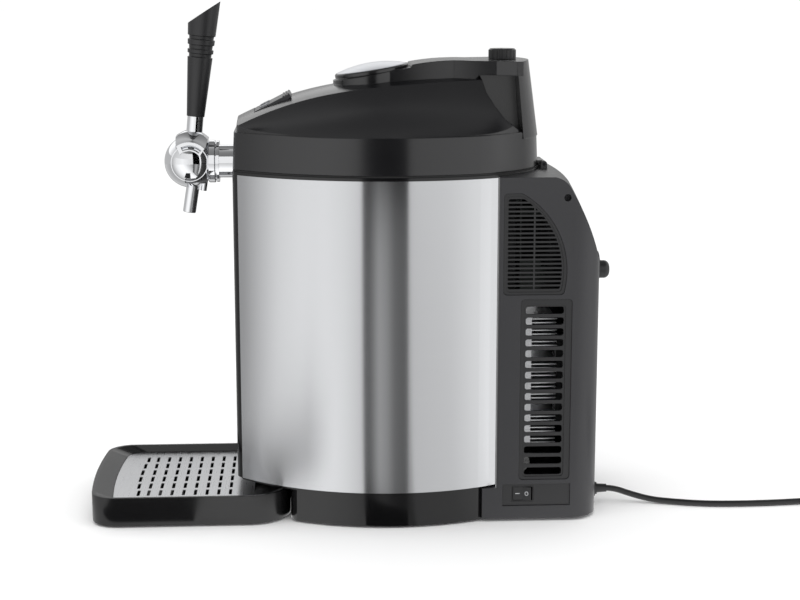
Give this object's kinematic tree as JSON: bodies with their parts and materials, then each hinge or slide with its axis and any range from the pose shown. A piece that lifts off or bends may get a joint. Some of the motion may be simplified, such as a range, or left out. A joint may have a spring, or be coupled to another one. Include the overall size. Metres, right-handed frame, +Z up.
{
  "type": "beer dispenser",
  "caption": "Counter-top beer dispenser for a party keg: oval steel drum, scooped lid, ball tap with tall lever, rear cooling housing with vents, and drip tray.",
  "frame": {"origin": "on the table, under the middle of the standing length and width, lead left out", "axes": "+Z up; the tap faces -X; +Y to the left of a person who faces +X"},
  "size_m": [0.8325, 0.29, 0.4989],
  "materials": {
    "steel": "brushed stainless steel, fine level grain",
    "chrome": "polished chrome plate",
    "spindle_metal": "turned and plated steel",
    "drip_steel": "punched sheet, satin",
    "front_black": "fine-grained black moulding",
    "housing_black": "satin dark grey moulding",
    "vent_black": "matte black inserts",
    "lid_black": "satin black moulding with a soft sheen",
    "lid_inner": "inner moulding",
    "handle_black": "soft-touch black",
    "tray_black": "satin black moulding",
    "panel_black": "smooth panel",
    "lens": "smoked window",
    "badge": "plain domed disc, satin silver",
    "button": "grey buttons",
    "control": "black plastic",
    "switch": "black nylon",
    "rubber": "black rubber",
    "cord": "black sheath",
    "aluminium": "bare aluminium",
    "foam": "blown insulating foam",
    "ceramic": "white ceramic faces",
    "screw": "zinc-plated steel",
    "board": "green circuit board",
    "arm": "food-grade plastic",
    "line": "translucent food tube",
    "gas": "plated metal"
  },
  "bodies": {
    "cabinet": {"base_plinth": "housing_black", "bottom_plate": "housing_black", "rubber_feet": "rubber", "steel_skin_left": "steel", "steel_skin_right": "steel", "front_panel": "front_black", "top_ring": "housing_black", "lid_gasket": "rubber", "keg_well": "aluminium", "keg_pad": "rubber", "insulation_foam": "foam", "rear_housing": "housing_black", "upper_vent_left": "vent_black", "upper_vent_right": "vent_black", "lower_vent_left": "vent_black", "lower_vent_right": "vent_black", "housing_screws": "screw", "switch_plate": "vent_black", "switch_body": "switch", "thermostat": "switch", "cold_block": "aluminium", "cooling_module": "ceramic", "heatsink": "aluminium", "clamp_screws": "screw", "fan_frame": "switch", "power_board": "board", "cord_gland": "control", "hinge_pin": "spindle_metal", "tap_arm": "arm", "keg_coupler": "arm", "beer_line": "line", "tap_tube": "chrome", "tap_collar": "chrome", "tap_ball": "chrome", "tap_spout": "chrome", "power_cord": "cord", "cord_coil": "cord", "cord_plug": "control"},
    "lid": {"lid_shell": "lid_black", "lid_liner": "lid_inner", "control_board": "board", "control_panel": "panel_black", "display_lens": "lens", "badge_carrier": "lid_black", "badge_disc": "badge", "regulator_body": "gas", "gas_cartridge": "gas", "gas_tube": "line"},
    "tap_lever": {"valve_spindle": "spindle_metal", "tap_yoke": "chrome", "lever_stem": "chrome", "lever_handle": "handle_black"},
    "gas_knob": {"gas_knob": "control"},
    "button_minus": {"button_minus": "button"},
    "button_plus": {"button_plus": "button"},
    "rocker": {"power_rocker": "control"},
    "dial": {"temperature_dial": "control"},
    "fan": {"fan_rotor": "switch"},
    "tray": {"drip_tray": "tray_black"},
    "drip_plate": {"drip_plate": "drip_steel"}
  },
  "joints": [
    {"name": "tap_lever_pull", "type": "hinge", "parent": "cabinet", "child": "tap_lever", "pos_m": [-0.1579, 0, 0.344], "axis": [0, -1, 0], "range_deg": [0, 45]},
    {"name": "lid_hinge", "type": "hinge", "parent": "cabinet", "child": "lid", "pos_m": [0.189, 0, 0.3412], "axis": [0, 1, 0], "range_deg": [0, 85]},
    {"name": "gas_knob_turn", "type": "hinge", "parent": "lid", "child": "gas_knob", "pos_m": [0.1488, 0, 0.448], "axis": [0, 0, 1], "range_deg": [0, 270]},
    {"name": "button_minus_press", "type": "slide", "parent": "lid", "child": "button_minus", "axis": [0.4524, 0, -0.8918], "range_m": [0, 0.0008], "stiffness_N_per_m": 1500, "springref_m": -0.0003},
    {"name": "button_plus_press", "type": "slide", "parent": "lid", "child": "button_plus", "axis": [0.4524, 0, -0.8918], "range_m": [0, 0.0008], "stiffness_N_per_m": 1500, "springref_m": -0.0003},
    {"name": "power_rocker_tip", "type": "hinge", "parent": "cabinet", "child": "rocker", "pos_m": [0.1622, -0.0912, 0.0278], "axis": [0, 0, 1], "range_deg": [0, 13]},
    {"name": "temperature_dial_turn", "type": "hinge", "parent": "cabinet", "child": "dial", "pos_m": [0.2535, 0, 0.2325], "axis": [1, 0, 0], "range_deg": [0, 270]},
    {"name": "fan_spin", "type": "hinge", "parent": "cabinet", "child": "fan", "pos_m": [0.2085, 0, 0.1305], "axis": [1, 0, 0], "continuous": true},
    {"name": "tray_slide", "type": "slide", "parent": "cabinet", "child": "tray", "axis": [-1, 0, 0], "range_m": [0, 0.15]},
    {"name": "drip_plate_lift", "type": "slide", "parent": "tray", "child": "drip_plate", "axis": [0, 0, 1], "range_m": [0, 0.008]}
  ]
}
